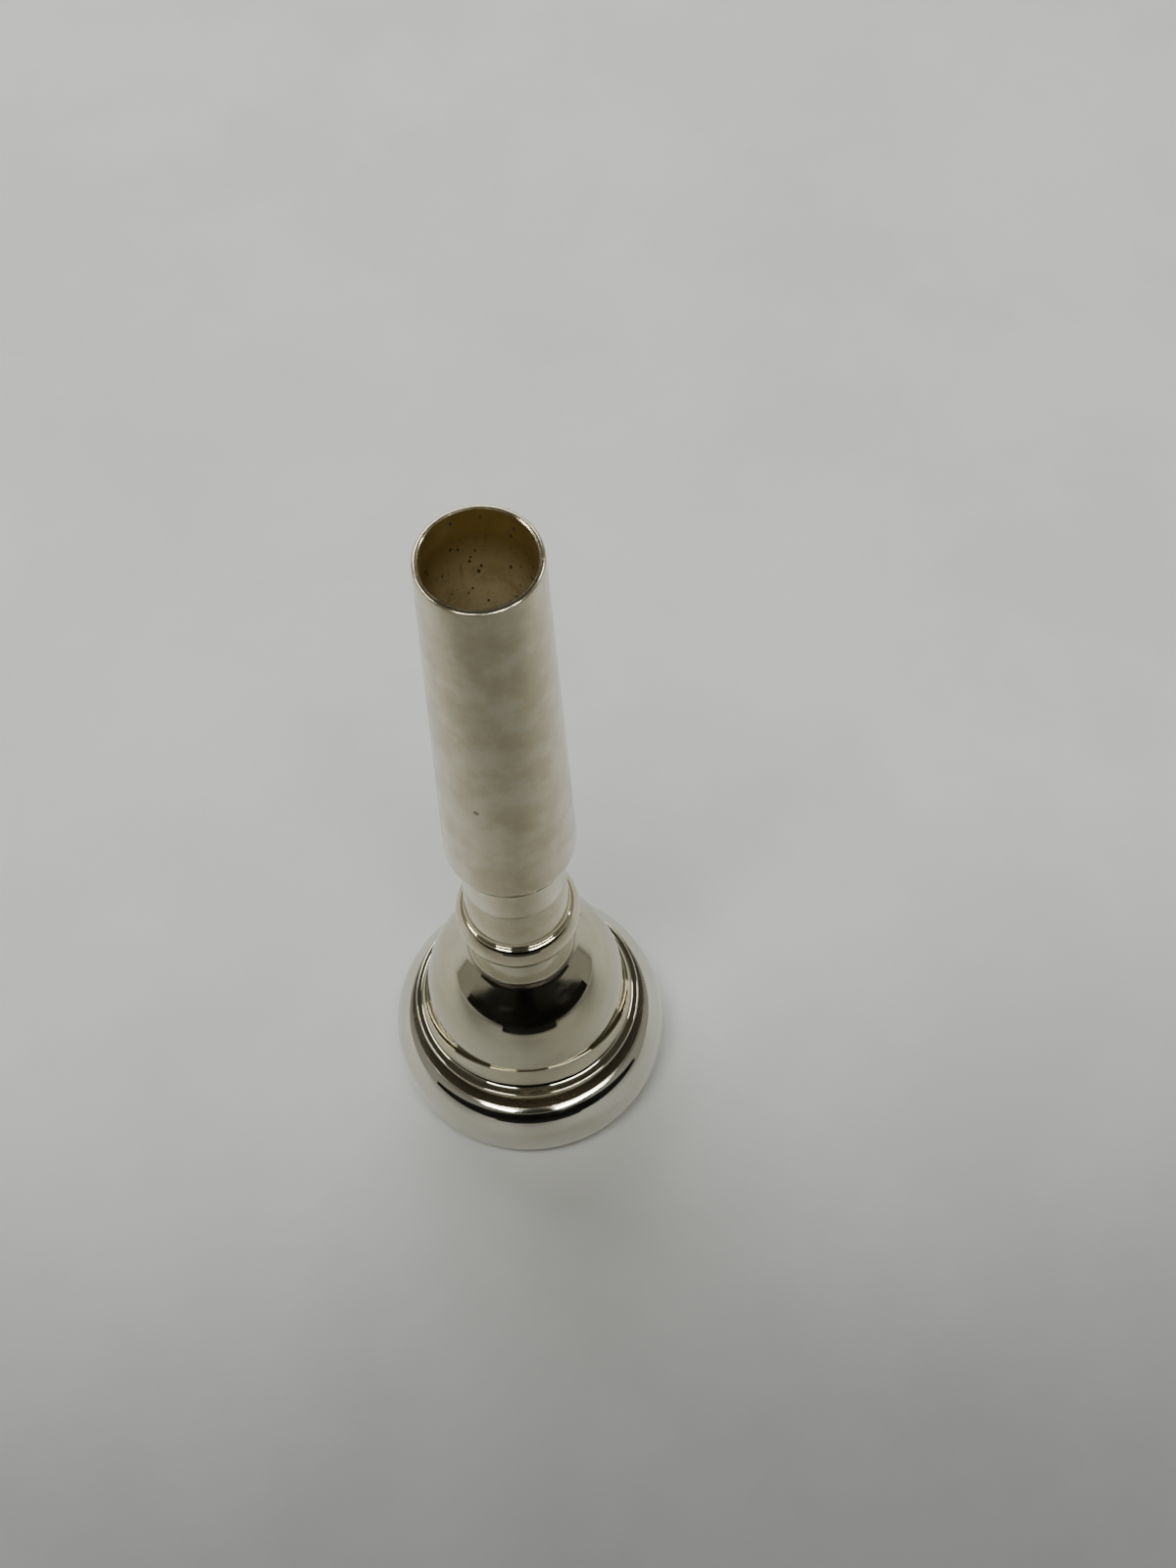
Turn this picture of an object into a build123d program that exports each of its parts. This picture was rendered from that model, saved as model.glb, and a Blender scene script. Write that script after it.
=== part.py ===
"""Trumpet mouthpiece of the three-piece screw pattern, standing on its rim.

Every piece is turned about +Z. The origin is the middle of the rim's plane, on
which the mouthpiece stands, and the shank points up. Sizes are in millimetres,
and every outline is drawn as (radius, height).
"""

import os
from math import acos, asin, atan2, cos, degrees, radians, sin, tan

from build123d import *

os.makedirs("parts", exist_ok=True)

# Whole mouthpiece
LENGTH = 87.3  # rim plane to shank end

# Rim
RIM_R = 13.66
RIM_HEIGHT = 9.74  # rim plane to the seam with the cup
RIM_WIDTH = 5.51  # outside to the bite, where the lips end
BITE_HEIGHT = 1.9
RIM_LAND_INSET = 3.79  # outside to the middle of the flat that it stands on
RIM_LAND_W = 0.3
RIM_BAND_LOW = 4.05  # the straight band between the two curves of the outside
RIM_BAND_HIGH = 5.84
RIM_CROWN_R = 4.93

# Cup
CUP_MOUTH_INSET = 0.15  # from the bite
BOWL_ARC_R = 9.2
THROAT_R = 1.83
THROAT_ROUND_W = 1.07  # how far the bowl rounds into the throat
THROAT_ROUND_HEIGHT = 1.9
COLLAR_STEP = 0.5  # in from the rim's top edge
COLLAR_HEIGHT = 2.05
COLLAR_ROUND = 0.25
COLLAR_FLAT = 0.15
FLARE_W = 1.1
FLARE_HEIGHT = 3.0
BELL_HEIGHT = 9.04
BELL_LEAN = 0.84  # lean at its top, as a share of what one arc would reach
LOW_NECK_LENGTH = 4.92  # bell top to the seam with the backbore
LOW_NECK_BASE_R = 4.92
LOW_NECK_TAPER = 0.1
NECK_FILLET_W = 0.61
NECK_FILLET_RISE = 0.22  # how far it goes up the neck

# Backbore and shank
BEAD_HALF_W = 1.22
BEAD_HALF_HEIGHT = 2.0
BEAD_INSET = 0.3  # middle of its section, in from the neck's base
HIGH_NECK_LENGTH = 14.64  # seam to the underside of the shoulder
HIGH_NECK_STEP = 0.03  # in from the lower neck's base
HIGH_NECK_TAPER = 0.27
NECK_CORNER = 0.5
NECK_LINE_HEIGHT = 9.25  # seam to a fine line scribed round the upper neck
NECK_LINE_HALF_W = 0.14
NECK_LINE_DEPTH = 0.035
SHOULDER_HEIGHT = 2.0
SHOULDER_CORNER = 0.5
SHOULDER_UNDERCUT = 70.0  # degrees of the oval from its widest to the corner
SHANK_END_R = 4.87
SHANK_TAPER = 0.0245  # radius gained per millimetre down the shank
SHANK_END_ROUND = 0.3
SHANK_WALL = 0.485  # at the end
MOUTH_CHAMFER = 0.1

# Screw joints
COLLAR_SEAT_W = 0.95
SPIGOT_LENGTH = 5.44
NECK_WALL = 0.7  # outside of the groove below the stud's thread
STUD_LENGTH = 5.5
PITCH = 0.75
THREAD_TURNS = 6  # the rest of each screw is plain relief
THREAD_DEPTH = 0.38
THREAD_ROOT = 0.09  # half the flat at the bottom of the groove
THREAD_FLANK = 30.0
THREAD_CHAMFER = 0.3
THREAD_CLEARANCE = 0.05  # between the crests of the two threads
END_CLEARANCE = 0.1

# Radii that follow from those sizes
BITE_R = RIM_R - RIM_WIDTH
RIM_LAND_R = RIM_R - RIM_LAND_INSET
RIM_CROWN = degrees(asin((RIM_HEIGHT - RIM_BAND_HIGH) / RIM_CROWN_R))
RIM_TOP_R = RIM_R - RIM_CROWN_R * (1 - cos(radians(RIM_CROWN)))
CUP_MOUTH_R = BITE_R - CUP_MOUTH_INSET
COLLAR_R = RIM_TOP_R - COLLAR_STEP
RIM_THREAD_R = COLLAR_R - COLLAR_SEAT_W
FLARE_R = COLLAR_R - COLLAR_ROUND - COLLAR_FLAT
BELL_BASE_R = FLARE_R - FLARE_W
BELL_TOP_R = LOW_NECK_BASE_R + NECK_FILLET_W
BELL_W = BELL_BASE_R - BELL_TOP_R
BELL_ANGLE = 2 * BELL_LEAN * degrees(atan2(BELL_W, BELL_HEIGHT))
BELL_ARC_R = (
    BELL_HEIGHT * sin(radians(BELL_ANGLE)) - BELL_W * cos(radians(BELL_ANGLE))
) / (1 - cos(radians(BELL_ANGLE)))
BELL_CENTRE_R = BELL_BASE_R - BELL_ARC_R
LOW_NECK_TOP_R = LOW_NECK_BASE_R - LOW_NECK_TAPER
STUD_RELIEF_R = LOW_NECK_TOP_R - NECK_WALL
STUD_THREAD_R = STUD_RELIEF_R - THREAD_DEPTH - 2 * THREAD_CLEARANCE
BEAD_CENTRE_R = LOW_NECK_BASE_R - BEAD_INSET
HIGH_NECK_BASE_R = LOW_NECK_BASE_R - HIGH_NECK_STEP
HIGH_NECK_TOP_R = HIGH_NECK_BASE_R - HIGH_NECK_TAPER
MOUTH_R = SHANK_END_R - SHANK_WALL

# Heights that follow from those sizes
COLLAR_TOP = RIM_HEIGHT + COLLAR_HEIGHT
BELL_BASE = COLLAR_TOP + FLARE_HEIGHT
BELL_TOP = BELL_BASE + BELL_HEIGHT
NECK_FILLET_MIDDLE = BELL_TOP + NECK_FILLET_W / tan(radians(BELL_ANGLE))
NECK_SEAM = BELL_TOP + LOW_NECK_LENGTH
SHOULDER_LOW = NECK_SEAM + HIGH_NECK_LENGTH
SHANK_LOW = SHOULDER_LOW + SHOULDER_HEIGHT
SHANK_LOW_R = SHANK_END_R + SHANK_TAPER * (LENGTH - SHANK_LOW)
THREAD_LENGTH = PITCH * THREAD_TURNS
SPIGOT_END = RIM_HEIGHT - SPIGOT_LENGTH
SPIGOT_LEDGE = SPIGOT_END - END_CLEARANCE
STUD_END = NECK_SEAM - STUD_LENGTH
STUD_LEDGE = STUD_END - END_CLEARANCE


def arc(centre, radius, start, end):
    """Round stretch of an outline, from one angle to another in degrees."""
    return CenterArc(centre, radius, start, end - start)


def oval(centre, half_w, half_h, start, end):
    """Elliptic stretch of an outline, from one angle to another in degrees."""
    return EllipticalCenterArc(centre, half_w, half_h, start, arc_size=end - start)


def on_oval(centre, half_w, half_h, angle):
    """Point of an ellipse at an angle in degrees."""
    t = radians(angle)
    return centre[0] + half_w * cos(t), centre[1] + half_h * sin(t)


def turned(*edges):
    """Solid of revolution about Z with a closed outline of (radius, height)."""
    return revolve(make_face(Plane.XZ * (Curve() + list(edges))), Axis.Z)


def thread(crest_r, low, side):
    """Points of a thread drawn as V rings at its pitch, from low upwards.

    Side is 1 where the grooves go outwards from a hole and -1 on a screw.
    """
    root_r = crest_r + side * THREAD_DEPTH
    half = THREAD_ROOT + THREAD_DEPTH * tan(radians(THREAD_FLANK))
    points = []
    for turn in range(THREAD_TURNS):
        middle = low + (turn + 0.5) * PITCH
        points += [
            (crest_r, middle - half),
            (root_r, middle - THREAD_ROOT),
            (root_r, middle + THREAD_ROOT),
            (crest_r, middle + half),
        ]
    return points


def rim():
    """Rim ring: rounded outside, flat land, bite and the thread for the cup."""
    land_in = RIM_LAND_R - RIM_LAND_W / 2
    land_out = RIM_LAND_R + RIM_LAND_W / 2
    crown_centre = (RIM_R - RIM_CROWN_R, RIM_BAND_HIGH)
    hole_r = RIM_THREAD_R + THREAD_CLEARANCE
    relief_r = hole_r + THREAD_DEPTH + THREAD_CLEARANCE
    relief_top = RIM_HEIGHT - THREAD_CHAMFER - THREAD_LENGTH
    return turned(
        Line((land_in, 0), (land_out, 0)),
        oval((land_out, RIM_BAND_LOW), RIM_R - land_out, RIM_BAND_LOW, 270, 360),
        Line((RIM_R, RIM_BAND_LOW), (RIM_R, RIM_BAND_HIGH)),
        arc(crown_centre, RIM_CROWN_R, 0, RIM_CROWN),
        Polyline(
            (RIM_TOP_R, RIM_HEIGHT),
            (hole_r + THREAD_CHAMFER, RIM_HEIGHT),
            (hole_r, RIM_HEIGHT - THREAD_CHAMFER),
            *reversed(thread(hole_r, relief_top, 1)),
            (hole_r, relief_top),
            (relief_r, relief_top),
            (relief_r, SPIGOT_LEDGE),
            (CUP_MOUTH_R, SPIGOT_LEDGE),
            (BITE_R, BITE_HEIGHT),
        ),
        oval((land_in, BITE_HEIGHT), land_in - BITE_R, BITE_HEIGHT, 180, 270),
    )


def bowl_edges():
    """Inside of the cup, from the spigot's end up to the end of the throat."""
    centre = (CUP_MOUTH_R - BOWL_ARC_R, SPIGOT_END)
    stop = degrees(acos((THROAT_R + THROAT_ROUND_W - centre[0]) / BOWL_ARC_R))
    edge_r, edge_z = on_oval(centre, BOWL_ARC_R, BOWL_ARC_R, stop)
    corner = (THROAT_R, edge_z + (edge_r - THROAT_R) / tan(radians(stop)))
    throat_low = (THROAT_R, edge_z + THROAT_ROUND_HEIGHT)
    return [
        arc(centre, BOWL_ARC_R, 0, stop),
        Bezier((edge_r, edge_z), corner, throat_low),
        Line(throat_low, (THROAT_R, STUD_LEDGE)),
    ]


def cup():
    """Cup: spigot, collar, flare, bell and the neck that takes the backbore."""
    hole_r = STUD_THREAD_R + THREAD_CLEARANCE
    relief_top = NECK_SEAM - THREAD_CHAMFER - THREAD_LENGTH
    root_r = RIM_THREAD_R - THREAD_DEPTH - THREAD_CLEARANCE
    thread_low = SPIGOT_END + THREAD_CHAMFER
    spigot_top = thread_low + THREAD_LENGTH
    round_r = COLLAR_R - COLLAR_ROUND
    neck_top_r = LOW_NECK_TOP_R - END_CLEARANCE
    neck_low = NECK_FILLET_MIDDLE + NECK_FILLET_RISE
    bell = (BELL_CENTRE_R, BELL_BASE)
    bell_bend = on_oval(bell, BELL_ARC_R, BELL_ARC_R, BELL_ANGLE)
    return turned(
        *bowl_edges(),
        Polyline(
            (THROAT_R, STUD_LEDGE),
            (STUD_RELIEF_R, STUD_LEDGE),
            (STUD_RELIEF_R, relief_top),
            (hole_r, relief_top),
            *thread(hole_r, relief_top, 1),
            (hole_r, NECK_SEAM - THREAD_CHAMFER),
            (hole_r + THREAD_CHAMFER, NECK_SEAM),
            (neck_top_r, NECK_SEAM),
            (LOW_NECK_TOP_R, NECK_SEAM - END_CLEARANCE),
            (LOW_NECK_BASE_R, neck_low),
        ),
        Bezier(
            (LOW_NECK_BASE_R, neck_low),
            (LOW_NECK_BASE_R, NECK_FILLET_MIDDLE),
            (BELL_TOP_R, BELL_TOP),
        ),
        Line((BELL_TOP_R, BELL_TOP), bell_bend),
        arc(bell, BELL_ARC_R, 0, BELL_ANGLE),
        oval((FLARE_R, BELL_BASE), FLARE_W, FLARE_HEIGHT, 180, 270),
        Line((FLARE_R, COLLAR_TOP), (round_r, COLLAR_TOP)),
        arc((round_r, COLLAR_TOP - COLLAR_ROUND), COLLAR_ROUND, 0, 90),
        Polyline(
            (COLLAR_R, COLLAR_TOP - COLLAR_ROUND),
            (COLLAR_R, RIM_HEIGHT),
            (root_r, RIM_HEIGHT),
            (root_r, spigot_top),
            (RIM_THREAD_R, spigot_top),
            *reversed(thread(RIM_THREAD_R, thread_low, -1)),
            (RIM_THREAD_R, thread_low),
            (RIM_THREAD_R - THREAD_CHAMFER, SPIGOT_END),
            (CUP_MOUTH_R, SPIGOT_END),
        ),
    )


def shank_edges():
    """Outside of the upper piece, from the bead up to the end of the shank."""
    bead = (BEAD_CENTRE_R, NECK_SEAM + BEAD_HALF_HEIGHT)
    lean = degrees(acos((HIGH_NECK_BASE_R - BEAD_CENTRE_R) / BEAD_HALF_W))
    corner = on_oval(bead, BEAD_HALF_W, BEAD_HALF_HEIGHT, lean)
    bead_stop = lean - degrees(NECK_CORNER / 2 / BEAD_HALF_W)
    bead_end = on_oval(bead, BEAD_HALF_W, BEAD_HALF_HEIGHT, bead_stop)
    neck_low = (HIGH_NECK_BASE_R, corner[1] + NECK_CORNER)
    neck_high = (HIGH_NECK_TOP_R, SHOULDER_LOW - SHOULDER_CORNER)
    lean_in = HIGH_NECK_TAPER / (neck_high[1] - neck_low[1])
    line_z = NECK_SEAM + NECK_LINE_HEIGHT
    line_r = HIGH_NECK_BASE_R - lean_in * (line_z - neck_low[1])
    line_step = lean_in * NECK_LINE_HALF_W
    shoulder = (HIGH_NECK_TOP_R, SHANK_LOW)
    shoulder_w = SHANK_LOW_R - HIGH_NECK_TOP_R
    stop = 360 - SHOULDER_UNDERCUT
    under_r, under_z = on_oval(shoulder, shoulder_w, SHOULDER_HEIGHT, stop)
    slope = SHOULDER_HEIGHT / shoulder_w / tan(radians(SHOULDER_UNDERCUT))
    inner = (HIGH_NECK_TOP_R, under_z - slope * (under_r - HIGH_NECK_TOP_R))
    top_r = SHANK_END_R - SHANK_END_ROUND
    return [
        oval(bead, BEAD_HALF_W, BEAD_HALF_HEIGHT, -90, bead_stop),
        Bezier(bead_end, corner, neck_low),
        Polyline(
            neck_low,
            (line_r + line_step, line_z - NECK_LINE_HALF_W),
            (line_r - NECK_LINE_DEPTH, line_z),
            (line_r - line_step, line_z + NECK_LINE_HALF_W),
            neck_high,
        ),
        Bezier(neck_high, inner, (under_r, under_z)),
        oval(shoulder, shoulder_w, SHOULDER_HEIGHT, stop, 360),
        Line((SHANK_LOW_R, SHANK_LOW), (SHANK_END_R, LENGTH - SHANK_END_ROUND)),
        arc((top_r, LENGTH - SHANK_END_ROUND), SHANK_END_ROUND, 0, 90),
    ]


def backbore_shank():
    """Upper piece: screwed stud, bead, neck, tapered shank and the backbore."""
    root_r = STUD_THREAD_R - THREAD_DEPTH - THREAD_CLEARANCE
    thread_low = STUD_END + THREAD_CHAMFER
    stud_top = thread_low + THREAD_LENGTH
    return turned(
        *shank_edges(),
        Polyline(
            (SHANK_END_R - SHANK_END_ROUND, LENGTH),
            (MOUTH_R + MOUTH_CHAMFER, LENGTH),
            (MOUTH_R, LENGTH - MOUTH_CHAMFER),
            (THROAT_R, STUD_END),
            (STUD_THREAD_R - THREAD_CHAMFER, STUD_END),
            (STUD_THREAD_R, thread_low),
            *thread(STUD_THREAD_R, thread_low, -1),
            (STUD_THREAD_R, stud_top),
            (root_r, stud_top),
            (root_r, NECK_SEAM),
            (BEAD_CENTRE_R, NECK_SEAM),
        ),
    )


for build in (rim, cup, backbore_shank):
    export_step(build(), f"parts/{build.__name__}.step")
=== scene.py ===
"""Looks of a silver-plated trumpet mouthpiece that stands on its rim.

Three turned pieces screw together: the rim, the cup and the backbore with its
shank. Each is spun from an outline of (radius, height) in millimetres, and its
threads are true helices. Heights that the pieces share come from the frame.
"""

import logging
from dataclasses import dataclass, field
from enum import Enum
from math import acos, asin, atan2, cos, degrees, pi, radians, sin, tan
from typing import Any

import bmesh
import bpy
from mathutils import Matrix, Vector


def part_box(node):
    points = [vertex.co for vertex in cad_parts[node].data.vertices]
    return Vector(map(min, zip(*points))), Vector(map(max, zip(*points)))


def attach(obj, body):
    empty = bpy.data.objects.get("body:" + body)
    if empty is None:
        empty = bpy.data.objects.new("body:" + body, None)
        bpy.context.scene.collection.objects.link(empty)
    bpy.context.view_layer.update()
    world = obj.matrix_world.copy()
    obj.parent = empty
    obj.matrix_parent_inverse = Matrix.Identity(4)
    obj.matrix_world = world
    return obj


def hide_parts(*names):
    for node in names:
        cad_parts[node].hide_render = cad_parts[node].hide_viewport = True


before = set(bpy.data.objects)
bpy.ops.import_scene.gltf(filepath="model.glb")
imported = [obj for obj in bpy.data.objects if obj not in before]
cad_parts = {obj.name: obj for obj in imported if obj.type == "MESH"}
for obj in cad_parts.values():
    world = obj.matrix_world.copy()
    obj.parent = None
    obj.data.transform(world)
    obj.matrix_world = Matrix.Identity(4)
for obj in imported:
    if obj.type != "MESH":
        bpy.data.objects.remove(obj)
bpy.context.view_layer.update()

MM = 0.001
FULL_TURN = 2 * pi
TURN_STEPS = 288
ARC_STEP = 3.0  # degrees of an arc to one segment
SHARP_ANGLE = radians(28)
MERGE_DISTANCE = 1e-7
BLEND_STEPS = 12

# The screw joints, in millimetres
THREAD_PITCH = 0.75
THREAD_DEPTH = 0.38

log = logging.getLogger("mouthpiece")

Point = tuple[float, float]
Colour = tuple[float, float, float]


# ---------------------------------------------------------------- shader maths


class Wire:
    """A node's output socket that takes part in Python arithmetic."""

    def __init__(self, graph: "Graph", socket: Any) -> None:
        """Keeps the graph that new Math nodes go into, and the socket."""
        self.graph = graph
        self.socket = socket

    def _math(self, operation: str, *values: Any) -> "Wire":
        """Adds a Math node on these values."""
        node = self.graph.add("ShaderNodeMath", {"operation": operation}, dict(enumerate(values)))
        return node["Value"]

    def __add__(self, other: Any) -> "Wire":
        """Sum."""
        return self._math("ADD", self, other)

    def __radd__(self, other: Any) -> "Wire":
        """Sum, with the number first."""
        return self._math("ADD", other, self)

    def __sub__(self, other: Any) -> "Wire":
        """Difference."""
        return self._math("SUBTRACT", self, other)

    def __rsub__(self, other: Any) -> "Wire":
        """Difference, with the number first."""
        return self._math("SUBTRACT", other, self)

    def __mul__(self, other: Any) -> "Wire":
        """Product."""
        return self._math("MULTIPLY", self, other)

    def __rmul__(self, other: Any) -> "Wire":
        """Product, with the number first."""
        return self._math("MULTIPLY", other, self)

    def larger(self, other: Any) -> "Wire":
        """The larger of the two."""
        return self._math("MAXIMUM", self, other)

    def size(self) -> "Wire":
        """Absolute value."""
        return self._math("ABSOLUTE", self)

    def ramp(self, low: float, high: float, to_low: float = 0.0, to_high: float = 1.0) -> "Wire":
        """Maps low..high to to_low..to_high with a smooth step, clamped.

        Args:
            low: Input at which the result is to_low.
            high: Input at which the result is to_high.
            to_low: Result at and below low.
            to_high: Result at and above high.

        Returns:
            The mapped value.
        """
        values = {"Value": self, "From Min": low, "From Max": high, "To Min": to_low, "To Max": to_high}
        settings = {"interpolation_type": "SMOOTHSTEP"}
        return self.graph.add("ShaderNodeMapRange", settings, values)["Result"]


class Graph:
    """One node tree, in which every node is made by the add method."""

    def __init__(self, tree: bpy.types.NodeTree) -> None:
        """Empties the tree."""
        self.tree = tree
        tree.nodes.clear()

    def add(self, kind: str, settings: dict[str, Any], sockets: dict[Any, Any]) -> dict[str, Wire]:
        """Adds a node.

        Args:
            kind: The node's type.
            settings: Its properties, set first.
            sockets: Values or wires for its inputs, by name or number.

        Returns:
            Its enabled outputs by name.
        """
        node = self.tree.nodes.new(kind)
        for key, value in settings.items():
            setattr(node, key, value)
        for key, value in sockets.items():
            if isinstance(value, Wire):
                self.tree.links.new(value.socket, node.inputs[key])
            else:
                node.inputs[key].default_value = value
        return {out.name: Wire(self, out) for out in node.outputs if out.enabled}

    def vector(self, x: Any, y: Any, z: Any) -> Wire:
        """A vector of three values."""
        return self.add("ShaderNodeCombineXYZ", {}, {"X": x, "Y": y, "Z": z})["Vector"]

    def noise(self, vector: Wire, scale: float, detail: float = 3.0, rough: float = 0.5) -> Wire:
        """Noise from about 0.2 to 0.8, at a scale in features per unit of the vector."""
        values = {"Vector": vector, "Scale": scale, "Detail": detail, "Roughness": rough}
        return self.add("ShaderNodeTexNoise", {"noise_dimensions": "3D"}, values)["Fac"]

    def cells(self, vector: Wire, scale: float) -> Wire:
        """Distance to the nearest of scattered points, 0 at a point."""
        values = {"Vector": vector, "Scale": scale, "Randomness": 1.0}
        settings = {"voronoi_dimensions": "3D", "feature": "F1"}
        return self.add("ShaderNodeTexVoronoi", settings, values)["Distance"]

    def mix(self, share: Any, first: Any, second: Any) -> Wire:
        """Mixes two colours; share 0 is the first."""
        values = {0: share, 6: self.rgba(first), 7: self.rgba(second)}
        node = self.add("ShaderNodeMix", {"data_type": "RGBA", "blend_type": "MIX"}, values)
        return node["Result"]

    @staticmethod
    def rgba(colour: Any) -> Any:
        """A wire as it is, or a plain colour with full alpha."""
        return colour if isinstance(colour, Wire) else (*colour, 1.0)

    def bump(self, height: Wire) -> Wire:
        """Normal bent by a height field in metres."""
        values = {"Height": height, "Distance": 1.0, "Strength": 1.0}
        return self.add("ShaderNodeBump", {}, values)["Normal"]

    def surface(self, **sockets: Any) -> None:
        """Ends the graph in a Principled shader; underscores in names are spaces."""
        values = {key.replace("_", " "): value for key, value in sockets.items()}
        shader = self.add("ShaderNodeBsdfPrincipled", {}, values)["BSDF"]
        self.add("ShaderNodeOutputMaterial", {}, {"Surface": shader})


@dataclass
class Turned:
    """Coordinates of a turned surface, in millimetres, as wires."""

    graph: Graph
    point: Wire = field(init=False)
    x: Wire = field(init=False)
    y: Wire = field(init=False)
    height: Wire = field(init=False)

    def __post_init__(self) -> None:
        """Reads Object coordinates and scales them to millimetres."""
        place = self.graph.add("ShaderNodeTexCoord", {}, {})["Object"]
        scaled = self.graph.add(
            "ShaderNodeVectorMath", {"operation": "SCALE"}, {0: place, "Scale": 1 / MM}
        )
        self.point = scaled["Vector"]
        parts = self.graph.add("ShaderNodeSeparateXYZ", {}, {0: self.point})
        self.x, self.y, self.height = parts["X"], parts["Y"], parts["Z"]

    def stretched(self, across: float, along: float) -> Wire:
        """The point with its two widths and its height scaled apart."""
        return self.graph.vector(self.x * across, self.y * across, self.height * along)

    def ring(self, height: float, width: float) -> Wire:
        """A soft ring round the piece: 1 at a height, 0 beyond its width."""
        return (self.height - height).size().ramp(0.0, width, 1.0, 0.0)

    def spot(self, azimuth: float, radius: float, height: float, width: float) -> Wire:
        """A soft round spot: 1 in its middle, 0 beyond its width.

        Args:
            azimuth: Degrees from the front, positive to the right.
            radius: Distance of its middle from the axis.
            height: Height of its middle.
            width: Radius at which it has faded.

        Returns:
            The mask.
        """
        middle = (radius * sin(radians(azimuth)), -radius * cos(radians(azimuth)), height)
        values = {0: self.point, 1: middle}
        gap = self.graph.add("ShaderNodeVectorMath", {"operation": "DISTANCE"}, values)["Value"]
        return gap.ramp(width * 0.35, width, 1.0, 0.0)


# --------------------------------------------------------------------- finishes


@dataclass(frozen=True)
class PolishedPlate:
    """Bright silver plate gone a little yellow, with handling haze and hairlines."""

    name: str
    tint: Colour = (0.56, 0.535, 0.41)
    yellowed: Colour = (0.49, 0.455, 0.315)
    # Colour of pits and stains, and of the painted shade with tarnish in the rings
    grime: Colour = (0.16, 0.13, 0.085)
    gloss: float = 0.045
    haze: float = 0.10
    tarnish_and_shade_rings: tuple[tuple[float, float], ...] = ()  # height, width of each ring of tarnish and painted crease shade
    stains: tuple[tuple[float, float, float, float], ...] = ()  # as Turned.spot takes them

    def make(self) -> bpy.types.Material:
        """Builds the material."""
        material = bpy.data.materials.new(self.name)
        material.use_nodes = True
        graph = Graph(material.node_tree)
        on = Turned(graph)
        patches = graph.noise(on.point, 0.16, 4.0, 0.6).ramp(0.35, 0.68)
        smears = graph.noise(on.stretched(0.5, 1.3), 0.55, 6.0, 0.7).ramp(0.42, 0.72)
        hairlines = graph.noise(on.stretched(0.25, 30.0), 1.0, 2.0, 0.7)
        scratches = graph.noise(on.stretched(9.0, 0.8), 1.0, 3.0, 0.8).ramp(0.60, 0.72)
        pits = graph.cells(on.point, 1.1).ramp(0.03, 0.09, 1.0, 0.0)
        pits = pits * graph.noise(on.point, 0.7, 1.0).ramp(0.52, 0.60)
        dirt_and_shade = pits * 0.5
        # The rings paint shade into the joints and creases, together with their tarnish
        for height, width in self.tarnish_and_shade_rings:
            dirt_and_shade = dirt_and_shade.larger(on.ring(height, width) * (0.55 + 0.35 * smears))
        for stain in self.stains:
            dirt_and_shade = dirt_and_shade.larger(on.spot(*stain) * 0.9)
        colour = graph.mix(patches * 0.7, self.tint, self.yellowed)
        colour = graph.mix(dirt_and_shade, colour, self.grime)
        rough = self.gloss + self.haze * smears * patches + 0.05 * scratches * smears
        rough = rough + 0.035 * hairlines * hairlines + 0.25 * dirt_and_shade
        waves = graph.noise(on.point, 0.22, 2.0)
        height = hairlines * 0.25 + scratches * 0.35 - pits * 1.5
        normal = graph.bump(height * 0.0006 * MM + waves * 0.004 * MM)
        graph.surface(Base_Color=colour, Metallic=1.0, Roughness=rough, Normal=normal)
        return material


@dataclass(frozen=True)
class RubbedPlate:
    """Silver plate of the shank, rubbed satin by the receiver, with marks round and along."""

    name: str
    tint: Colour = (0.62, 0.57, 0.42)
    yellowed: Colour = (0.52, 0.46, 0.31)
    worn: Colour = (0.70, 0.67, 0.56)
    grime: Colour = (0.16, 0.13, 0.08)
    satin_low: float = 43.0  # below this height it is still polished
    satin_high: float = 50.0
    nick: tuple[float, float, float, float] = (-26.5, 5.56, 58.9, 0.38)

    def make(self) -> bpy.types.Material:
        """Builds the material."""
        material = bpy.data.materials.new(self.name)
        material.use_nodes = True
        graph = Graph(material.node_tree)
        on = Turned(graph)
        satin = on.height.ramp(self.satin_low, self.satin_high, 0.12, 1.0)
        patches = graph.noise(on.point, 0.22, 5.0, 0.65).ramp(0.38, 0.62)
        smears = graph.noise(on.stretched(0.6, 0.25), 1.0, 6.0, 0.7).ramp(0.40, 0.66)
        rings = graph.noise(on.stretched(0.35, 11.0), 1.0, 4.0, 0.8)
        bands = graph.noise(on.stretched(0.05, 0.6), 1.0, 2.0, 0.5).ramp(0.42, 0.60)
        rubs = graph.noise(on.stretched(5.0, 0.45), 1.0, 4.0, 0.8)
        deep = rubs.ramp(0.61, 0.70) * graph.noise(on.point, 0.35, 1.0).ramp(0.42, 0.6)
        nick = on.spot(*self.nick)
        lines = rings.ramp(0.56, 0.70) * bands
        colour = graph.mix(patches, self.tint, self.yellowed)
        colour = graph.mix((deep * 0.6 + lines * 0.35) * satin, colour, self.worn)
        colour = graph.mix((nick * 0.9).larger(smears * 0.10 * satin), colour, self.grime)
        grain = rings * 0.6 + rubs * 0.4
        rough = 0.05 + satin * (0.06 + 0.07 * smears + 0.10 * grain * bands) + 0.04 * deep
        height = satin * (rings * 1.2 + rubs * 1.0 + deep * 1.5 + lines * 1.5) * 0.002 * MM
        dent = nick * -0.05 * MM
        normal = graph.bump(height + dent + graph.noise(on.point, 0.3, 2.0) * 0.003 * MM)
        graph.surface(Base_Color=colour, Metallic=1.0, Roughness=rough, Normal=normal)
        return material


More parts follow.
